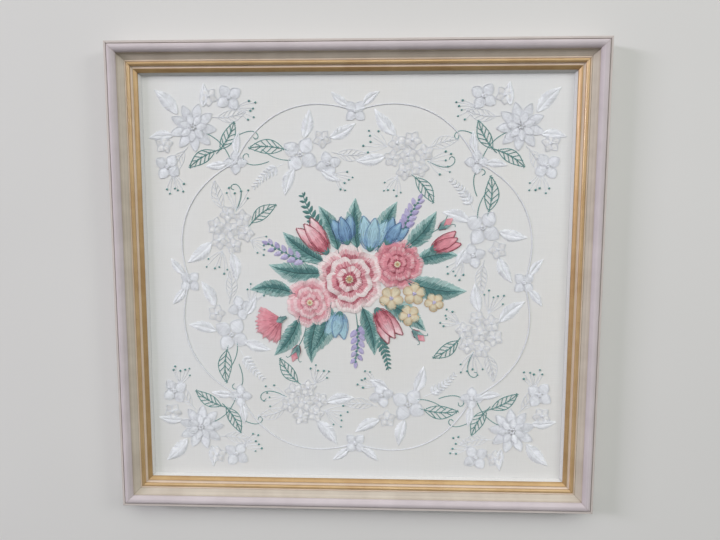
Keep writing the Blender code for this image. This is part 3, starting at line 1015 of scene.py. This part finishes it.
def lilac_spike(work, rand, base, way, length):
    """A stalk with small satin buds up both its sides."""
    work.add_line("green_stems", bowed(base, base + way * length * 0.95, 0.05), colour(GREEN))
    buds = 11
    for step in range(buds):
        along = 0.30 + 0.66 * step / (buds - 1)
        side = 0 if step == buds - 1 else (1, -1)[step % 2]
        foot = base + way * length * complex(along, 0.05 * 4 * along * (1 - along) + 0.015 * side)
        bud_way = way * turn_by(40 * side)
        size = LILAC_BUD * (1.2 - 0.5 * along)
        dye = mixed(colour(LILAC), colour(DEEP_LILAC), rand.uniform(0, 0.7))
        threads = satin_petal(rand, foot, bud_way, size, size * 0.3, LILAC_PAD, dye)
        work.add_threads("small_blossoms", threads)
        cup = satin_petal(rand, foot - bud_way * 0.0015, bud_way, *LILAC_CUP, colour(GREEN))
        work.add_threads("leaves_in_green", cup)


def bud(work, rand, base, way, length, shades):
    """A closed bud on its stalk, held by two long sepals."""
    work.add_line("green_stems", bowed(base, base + way * length * 0.6, 0.06), colour(GREEN))
    foot = base + way * length * 0.55
    petal = almond_petal(rand, foot, way, length * 0.45, 0.26, shades, PETAL_LOW, 3)
    work.add_threads("small_blossoms", petal)
    greens = [colour(PALE_GREEN), colour(DEEP_GREEN)]
    for turn in (-17, 17):
        sepal_way = way * turn_by(turn)
        threads = almond_petal(rand, foot, sepal_way, length * 0.33, 0.17, greens, SEPAL_LOW, 2)
        work.add_threads("leaves_in_green", threads)
        tip = curled(foot + sepal_way * length * 0.3, sepal_way, length * 0.2, turn / 40)
        work.add_line("fine_outlines", tip, colour(GREEN))


def fern(work, rand, base, way, length, dye, name):
    """A sprig with pairs of small leaflets that shorten to its tip."""
    stalk = "green_stems" if name == "leaves_in_green" else "white_outlines"
    work.add_line(stalk, bowed(base, base + way * length, 0.07), dye)
    pairs = 8
    for pair in range(pairs):
        along = 0.2 + 0.75 * pair / (pairs - 1)
        foot = base + way * length * complex(along, 0.07 * 4 * along * (1 - along))
        size = length * 0.22 * (1.1 - 0.7 * along)
        for side in (1, -1):
            leaflet_way = way * turn_by(48 * side)
            leaflet_dye = uneven(rand, dye)
            threads = satin_petal(rand, foot, leaflet_way, size, size * 0.22, LEAFLET_PAD, leaflet_dye)
            work.add_threads(name, threads)


def knotted_stalks(work, rand, base, way, count, length):
    """Fine white stalks that fan out, each with a green knot at its end."""
    for stalk in range(count):
        turn = 75 * (stalk / (count - 1) - 0.5) + rand.uniform(-4, 4)
        reach = length * (0.72, 1.0, 0.84)[stalk % 3]
        end = base + way * turn_by(turn) * reach
        work.add_line("white_outlines", bowed(base, end, 0.0015 * turn), colour(SHADED_WHITE))
        work.knots.append((end, colour(GREEN), 0.0))


# Node trees that lay the threads


def make_thread_layer():
    """Lays a thread on each point: start at the point, along its reach, arched by its pad."""
    tree, inputs, outputs = new_group("lay_threads", "GeometryNodeTree", (
        ("in", "Points", "NodeSocketGeometry", None),
        ("in", "Thread Width", "NodeSocketFloat", THREAD),
        ("in", "Steps", "NodeSocketInt", 4),
        ("in", "Unevenness", "NodeSocketFloat", 0.15),
        ("in", "Seed", "NodeSocketInt", 1),
        ("in", "Thread", "NodeSocketMaterial", None),
        ("out", "Threads", "NodeSocketGeometry", None),
    ))

    def named(name, data_type):
        made = add(tree, "GeometryNodeInputNamedAttribute", {"Name": name}, data_type=data_type)
        return made.outputs["Attribute"]

    position = add(tree, "GeometryNodeInputPosition").outputs[0]
    line = add(tree, "GeometryNodeCurvePrimitiveLine", {"Start": (0, 0, 0), "End": (1, 0, 0)}).outputs[0]
    rings = maths(tree, "ADD", inputs["Steps"], 1.0)
    line = add(tree, "GeometryNodeResampleCurve", {"Curve": line, "Count": rings}).outputs[0]
    section = add(tree, "GeometryNodeCurvePrimitiveCircle", {"Resolution": 3, "Radius": 1.0}).outputs[0]
    ridged = {"Geometry": section, "Rotation": (0.0, 0.0, math.radians(30))}
    section = add(tree, "GeometryNodeTransform", ridged).outputs[0]
    swept = {"Curve": line, "Profile Curve": section, "Fill Caps": True}
    blank = add(tree, "GeometryNodeCurveToMesh", swept).outputs[0]
    blank = stored(tree, blank, "blank", "FLOAT_VECTOR", position)

    seed = {"Seed": inputs["Seed"]}
    low = maths(tree, "SUBTRACT", 1.0, inputs["Unevenness"])
    high = maths(tree, "ADD", 1.0, inputs["Unevenness"])
    random_width = add(tree, "FunctionNodeRandomValue", {2: low, 3: high, **seed}, data_type="FLOAT")
    points = stored(tree, inputs["Points"], "begin", "FLOAT_VECTOR", position)
    points = stored(tree, points, "fullness", "FLOAT", random_width.outputs[1])
    placed = add(tree, "GeometryNodeInstanceOnPoints", {"Points": points, "Instance": blank}).outputs[0]
    threads = add(tree, "GeometryNodeRealizeInstances", {"Geometry": placed}).outputs[0]

    reach = named("reach", "FLOAT_VECTOR")
    local = add(tree, "ShaderNodeSeparateXYZ", {0: named("blank", "FLOAT_VECTOR")}).outputs
    fullness = maths(tree, "MULTIPLY", named("fullness", "FLOAT"), 0.5)
    half = maths(tree, "MULTIPLY", fullness, inputs["Thread Width"])
    across = vector_maths(tree, "NORMALIZE", vector_maths(tree, "CROSS_PRODUCT", (0, 0, 1), reach))
    from_middle = maths(tree, "SUBTRACT", maths(tree, "MULTIPLY", local["X"], 2.0), 1.0)
    arch = maths(tree, "SUBTRACT", 1.0, maths(tree, "POWER", maths(tree, "ABSOLUTE", from_middle), 2.6))
    lift = maths(tree, "MULTIPLY", arch, named("pad", "FLOAT"))
    ridge = maths(tree, "MULTIPLY", local["Z"], maths(tree, "MULTIPLY", half, 0.7))
    height = maths(tree, "ADD", lift, ridge)
    up = add(tree, "ShaderNodeCombineXYZ", {"Z": height}).outputs[0]
    place = vector_maths(tree, "ADD", named("begin", "FLOAT_VECTOR"), scaled(tree, reach, local["X"]))
    sideways = maths(tree, "MULTIPLY", local["Y"], maths(tree, "MULTIPLY", half, 1.15))
    place = vector_maths(tree, "ADD", place, scaled(tree, across, sideways))
    place = vector_maths(tree, "ADD", place, up)
    threads = add(tree, "GeometryNodeSetPosition", {"Geometry": threads, "Position": place}).outputs[0]

    span = add(tree, "ShaderNodeVectorMath", {0: reach}, operation="LENGTH").outputs["Value"]
    turns = maths(tree, "DIVIDE", maths(tree, "MULTIPLY", span, local["X"]), inputs["Thread Width"])
    around = maths(tree, "MULTIPLY", local["Y"], 0.5)
    threads = stored(tree, threads, "twist", "FLOAT", maths(tree, "ADD", turns, around))
    for name in ("blank", "begin", "fullness", "reach", "pad"):
        threads = add(tree, "GeometryNodeRemoveAttribute", {"Geometry": threads, "Name": name}).outputs[0]
    threads = add(tree, "GeometryNodeSetShadeSmooth", {"Geometry": threads}).outputs[0]
    finished = {"Geometry": threads, "Material": inputs["Thread"]}
    threads = add(tree, "GeometryNodeSetMaterial", finished).outputs[0]
    tree.links.new(threads, outputs["Threads"])
    return tree


def make_line_stitcher(thread_layer):
    """Works a line in stem stitch: even, slightly slanting stitches along it, each over the last."""
    tree, inputs, outputs = new_group("stem_stitch", "GeometryNodeTree", (
        ("in", "Lines", "NodeSocketGeometry", None),
        ("in", "Stitch Length", "NodeSocketFloat", STEM_LENGTH),
        ("in", "Overlap", "NodeSocketFloat", 1.45),
        ("in", "Slant", "NodeSocketFloat", 0.16),
        ("in", "Thread Width", "NodeSocketFloat", STEM_THREAD),
        ("in", "Seed", "NodeSocketInt", 2),
        ("in", "Thread", "NodeSocketMaterial", None),
        ("out", "Threads", "NodeSocketGeometry", None),
    ))
    curve = add(tree, "GeometryNodeMeshToCurve", {"Mesh": inputs["Lines"]}).outputs[0]
    spaced = {"Curve": curve, "Length": inputs["Stitch Length"]}
    stitches = add(tree, "GeometryNodeCurveToPoints", spaced, mode="LENGTH").outputs
    tangent = vector_maths(tree, "NORMALIZE", stitches["Tangent"])
    side = vector_maths(tree, "CROSS_PRODUCT", (0, 0, 1), tangent)
    heading = vector_maths(tree, "ADD", tangent, scaled(tree, side, inputs["Slant"]))
    length = maths(tree, "MULTIPLY", inputs["Stitch Length"], inputs["Overlap"])
    reach = scaled(tree, heading, length)
    back = add(tree, "GeometryNodeInputPosition").outputs[0]
    start = vector_maths(tree, "SUBTRACT", back, scaled(tree, reach, 0.5))
    points = stored(tree, stitches["Points"], "reach", "FLOAT_VECTOR", reach)
    points = add(tree, "GeometryNodeSetPosition", {"Geometry": points, "Position": start}).outputs[0]
    pad = maths(tree, "MULTIPLY", inputs["Thread Width"], 0.35)
    points = stored(tree, points, "pad", "FLOAT", pad)
    laid = add(tree, "GeometryNodeGroup", node_tree=thread_layer)
    tree.links.new(points, laid.inputs["Points"])
    laid.inputs["Steps"].default_value = 2
    for name in ("Thread Width", "Seed", "Thread"):
        tree.links.new(inputs[name], laid.inputs[name])
    tree.links.new(laid.outputs[0], outputs["Threads"])
    return tree


def make_knot_tier():
    """Ties a knot on each point: a short coil, wound twice round the needle."""
    tree, inputs, outputs = new_group("french_knots", "GeometryNodeTree", (
        ("in", "Points", "NodeSocketGeometry", None),
        ("in", "Knot Radius", "NodeSocketFloat", KNOT),
        ("in", "Seed", "NodeSocketInt", 3),
        ("in", "Thread", "NodeSocketMaterial", None),
        ("out", "Knots", "NodeSocketGeometry", None),
    ))
    coil = {"Resolution": 6, "Rotations": 2.0, "Start Radius": 0.60, "End Radius": 0.28, "Height": 0.55}
    coil = add(tree, "GeometryNodeCurveSpiral", coil).outputs[0]
    section = add(tree, "GeometryNodeCurvePrimitiveCircle", {"Resolution": 5, "Radius": 0.36}).outputs[0]
    swept = {"Curve": coil, "Profile Curve": section, "Fill Caps": True}
    knot = add(tree, "GeometryNodeCurveToMesh", swept).outputs[0]
    seed = {"Seed": inputs["Seed"]}
    spun = {0: (0.0, 0.0, 0.0), 1: (0.35, 0.35, math.tau), **seed}
    spun = add(tree, "FunctionNodeRandomValue", spun, data_type="FLOAT_VECTOR").outputs[0]
    sized = add(tree, "FunctionNodeRandomValue", {2: 0.85, 3: 1.15, **seed}, data_type="FLOAT").outputs[1]
    placed = {
        "Points": inputs["Points"],
        "Instance": knot,
        "Rotation": spun,
        "Scale": maths(tree, "MULTIPLY", sized, inputs["Knot Radius"]),
    }
    placed = add(tree, "GeometryNodeInstanceOnPoints", placed).outputs[0]
    knots = add(tree, "GeometryNodeRealizeInstances", {"Geometry": placed}).outputs[0]
    knots = add(tree, "GeometryNodeSetShadeSmooth", {"Geometry": knots}).outputs[0]
    finished = {"Geometry": knots, "Material": inputs["Thread"]}
    tree.links.new(add(tree, "GeometryNodeSetMaterial", finished).outputs[0], outputs["Knots"])
    return tree


LAY_THREADS = make_thread_layer()
STEM_STITCH = make_line_stitcher(LAY_THREADS)
FRENCH_KNOTS = make_knot_tier()


def worked_piece(name, mesh, tree, values):
    """Runs a tree on a chart's mesh and keeps the result as a plain mesh."""
    piece = bpy.data.objects.new(name, mesh)
    bpy.context.scene.collection.objects.link(piece)
    modifier = piece.modifiers.new(tree.name, "NODES")
    modifier.node_group = tree
    sockets = {item.name: item.identifier for item in tree.interface.items_tree if item.in_out == "INPUT"}
    for label, value in values.items():
        modifier[sockets[label]] = value
    as_plain_mesh(piece)
    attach(piece, "root")
    return piece


def store_values(mesh, name, data_type, values):
    field = {"FLOAT_COLOR": "color", "FLOAT_VECTOR": "vector", "FLOAT": "value"}[data_type]
    attribute = mesh.attributes.new(name, data_type, "POINT")
    attribute.data.foreach_set(field, [number for value in values for number in value])


def on_cloth(place, height):
    return Vector((place.real, place.imag, CLOTH_FACE + height))


def thread_piece(name, threads, seed):
    mesh = bpy.data.meshes.new(name)
    starts = [on_cloth(start, low) for start, _, low, _, _, _ in threads]
    ends = [on_cloth(end, high) for _, end, _, high, _, _ in threads]
    mesh.from_pydata(starts, [], [])
    store_values(mesh, "reach", "FLOAT_VECTOR", [end - start for start, end in zip(starts, ends)])
    store_values(mesh, "pad", "FLOAT", [(thread[4],) for thread in threads])
    store_values(mesh, "dye", "FLOAT_COLOR", [thread[5] for thread in threads])
    values = {"Thread Width": THREAD, "Steps": 3, "Seed": seed, "Thread": COTTON_THREAD}
    return worked_piece(name, mesh, LAY_THREADS, values)


def line_piece(name, lines, stitch, width, seed):
    points, edges, dyes = [], [], []
    for line, closed, dye, height in lines:
        first = len(points)
        points += [on_cloth(point, height) for point in line]
        dyes += [dye] * len(line)
        edges += [(first + i, first + i + 1) for i in range(len(line) - 1)]
        if closed:
            edges.append((len(points) - 1, first))
    mesh = bpy.data.meshes.new(name)
    mesh.from_pydata(points, edges, [])
    store_values(mesh, "dye", "FLOAT_COLOR", dyes)
    values = {"Stitch Length": stitch, "Thread Width": width, "Seed": seed, "Thread": COTTON_THREAD}
    return worked_piece(name, mesh, STEM_STITCH, values)


def knot_piece(name, knots, seed):
    mesh = bpy.data.meshes.new(name)
    mesh.from_pydata([on_cloth(place, height) for place, _, height in knots], [], [])
    store_values(mesh, "dye", "FLOAT_COLOR", [dye for _, dye, _ in knots])
    values = {"Knot Radius": KNOT, "Seed": seed, "Thread": COTTON_THREAD}
    return worked_piece(name, mesh, FRENCH_KNOTS, values)


# The design


def work_coloured_spray(work, rand):
    for x, y, turn, length, bow in COLOURED_LEAVES:
        shaded_leaf(work, rand, complex(x, y), turn_by(turn), length, bow)
    for x, y, turn, length in LILAC_SPIKES:
        lilac_spike(work, rand, complex(x, y), turn_by(turn), length)
    for x, y, turn, length in FERNS:
        fern(work, rand, complex(x, y), turn_by(turn), length, colour(GREEN), "leaves_in_green")
    for x, y, turn, length in BUDS:
        bud(work, rand, complex(x, y), turn_by(turn), length, [colour(dye) for dye in CORALS])
    for form, x, y, turn, size, dyes in COLOURED_BLOSSOMS:
        spot, way = complex(x, y), turn_by(turn)
        shades = [colour(dye) for dye in dyes]
        if form == "poppy":
            poppy(work, rand, spot, way, size, shades)
        elif form == "star":
            star(work, rand, spot, way, size, shades)
        elif form == "carnation":
            carnation(work, rand, spot, way, size, shades)
        else:
            cup_flower(work, rand, form, spot, way, size, shades)


def work_white_spray(rand, spray):
    """One spray as it lies in its table."""
    work = Stitching()
    for form, x, y, turn, size in spray:
        spot, way = complex(x, y), turn_by(turn)
        if form == "white leaf":
            white_leaf(work, rand, spot, way, size)
        elif form == "green outline":
            outlined_leaf(work, "green_stems", spot, way, size, colour(GREEN))
        elif form == "white outline":
            outlined_leaf(work, "white_outlines", spot, way, size, colour(SHADED_WHITE))
        elif form == "green stem":
            work.add_line("green_stems", bowed(spot, spot + way * size, 0.12), colour(GREEN))
        elif form == "tendril":
            work.add_line("green_stems", curled(spot, way, size, rand.uniform(0.9, 1.1)), colour(GREEN))
        elif form == "stalks":
            knotted_stalks(work, rand, spot, way, 6, size)
        elif form == "fern":
            fern(work, rand, spot, way, size, colour(WHITE), "padded_white_leaves")
        else:
            padded_blossom(work, rand, form, spot, way, size)
    return work


def work_white_sprays(work, rand):
    for across in (1, -1):
        for up in (1, -1):
            corner = work_white_spray(rand, CORNER_SPRAY)
            work.add_copy(corner, lambda place: complex(across * place.real, up * place.imag))
    for lobe in range(LOBE_SPRAYS):
        round_by = turn_by(360 * (lobe + 0.5) / LOBE_SPRAYS)
        if lobe % 2:
            work.add_copy(work_white_spray(rand, CLUSTER_SPRAY), lambda place: place * round_by)
        else:
            spray = work_white_spray(rand, DOGWOOD_SPRAY)
            work.add_copy(spray, lambda place: place.conjugate() * round_by)
    for cusp in range(LINE_LOBES):
        way = turn_by(360 * cusp / LINE_LOBES)
        padded_blossom(work, rand, "dogwood", LINE_RADIUS * way, way, CUSP_BLOSSOM)
        for turn in (CUSP_LEAF_TURN, -CUSP_LEAF_TURN):
            leaf_way = way * turn_by(turn)
            white_leaf(work, rand, LINE_RADIUS * way + leaf_way * CUSP_BLOSSOM * 0.8, leaf_way, CUSP_LEAF)


def scalloped_line():
    points = []
    steps = LINE_LOBES * 24
    for step in range(steps):
        angle = math.tau * step / steps
        points.append(cmath.rect(LINE_RADIUS + LINE_SWELL * abs(math.sin(LINE_LOBES * angle / 2)), angle))
    return points


def build_embroidery():
    rand = random.Random(DESIGN_SEED)
    work = Stitching()
    work_coloured_spray(work, rand)
    work_white_sprays(work, rand)
    pieces = []
    for name, threads in work.threads.items():
        pieces.append(thread_piece(name, threads, THREAD_SEED + len(pieces)))
    stitches = {
        "green_stems": (STEM_LENGTH, STEM_THREAD),
        "white_outlines": (FINE_LENGTH, FINE_THREAD),
        "fine_outlines": (FINE_LENGTH, FINE_THREAD),
    }
    for name, lines in work.lines.items():
        pieces.append(line_piece(name, lines, *stitches[name], THREAD_SEED + len(pieces)))
    line = [(scalloped_line(), True, colour(SHADED_WHITE), OUTLINE_LIFT)]
    pieces.append(line_piece("scalloped_line", line, LINE_STITCH, LINE_THICKNESS, LINE_SEED))
    pieces.append(knot_piece("french_knots", work.knots, KNOT_SEED))
    return pieces


# The room


CAMERA_PLACE = (0.0219, 0.0642, 0.5496)
CAMERA_TURN = (-5.400, 1.790, 0.069)
LENS = 26.0

ROOM_TINT = (0.985, 1.0, 0.955)
WINDOW_TINT = (0.94, 0.88, 1.0)
LAMP_TINT = (1.0, 0.99, 0.97)
ROOM_LIGHTS = (
    # name, place, width, length, power in watts, tint
    ("ceiling", (0.5, 5.8, 6.3), 9.6, 4.8, 350.0, ROOM_TINT),
    ("window", (-3.2, 0.9, 1.76), 0.5, 1.2, 58.0, WINDOW_TINT),
    ("lamp", (0.11, 0.62, 1.55), 0.25, 0.25, 2.2, LAMP_TINT),
    ("fill", (2.0, 0.9, 1.5), 0.8, 0.8, 14.0, LAMP_TINT),
)
SKY_STRENGTH = (0.13, 0.28)   # from the picture's bottom and from its top


def place_camera():
    camera = bpy.data.objects.new("camera", bpy.data.cameras.new("camera"))
    camera.data.lens = LENS
    camera.data.sensor_width = 36.0
    camera.data.sensor_fit = "HORIZONTAL"
    camera.data.clip_start = 0.01
    camera.location = CAMERA_PLACE
    camera.rotation_euler = [math.radians(angle) for angle in CAMERA_TURN]
    bpy.context.scene.collection.objects.link(camera)
    bpy.context.scene.camera = camera


def soft_light(name, place, width, length, power, tint):
    """A rectangular light that faces the frame."""
    lamp = bpy.data.lights.new(name, "AREA")
    lamp.shape = "RECTANGLE"
    lamp.size = width
    lamp.size_y = length
    lamp.energy = power
    lamp.color = tint
    light = bpy.data.objects.new(name, lamp)
    light.location = place
    light.rotation_euler = (-Vector(place)).to_track_quat("-Z", "Y").to_euler()
    bpy.context.scene.collection.objects.link(light)


def build_room():
    bpy.ops.mesh.primitive_plane_add(size=6)
    floor = bpy.context.object
    floor.name = "floor"
    material, tree, shader, place = new_finish("pale_floor")
    base = blended(tree, grain(tree, place, 3.0, 2.0), colour("DEDEDD"), colour("D6D6D5"))
    tree.links.new(base, shader["Base Color"])
    shader["Roughness"].default_value = 0.9
    floor.data.materials.append(material)
    floor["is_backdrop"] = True
    build_sky()
    for row in ROOM_LIGHTS:
        soft_light(*row)


def build_sky():
    """The room's own light: brighter from the picture's top than from its bottom."""
    world = bpy.data.worlds.new("room")
    bpy.context.scene.world = world
    world.use_nodes = True
    tree = world.node_tree
    way = add(tree, "ShaderNodeTexCoord").outputs["Generated"]
    upward = add(tree, "ShaderNodeSeparateXYZ", {0: way}).outputs["Y"]
    background = tree.nodes["Background"].inputs
    background["Color"].default_value = (*ROOM_TINT, 1)
    tree.links.new(spread(tree, upward, -0.6, 0.6, *SKY_STRENGTH), background["Strength"])


bpy.context.scene.view_settings.view_transform = "Standard"
place_camera()
build_room()
build_moulding()
build_slips()
finish_backing_board()
ground = build_ground()
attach(ground, "root")
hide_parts("embroidered_cloth")
stitching = build_embroidery()

boxes = {"cad": cad_box, "visual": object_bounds()}
boxes = {name: [list(corner) for corner in box] for name, box in boxes.items()}
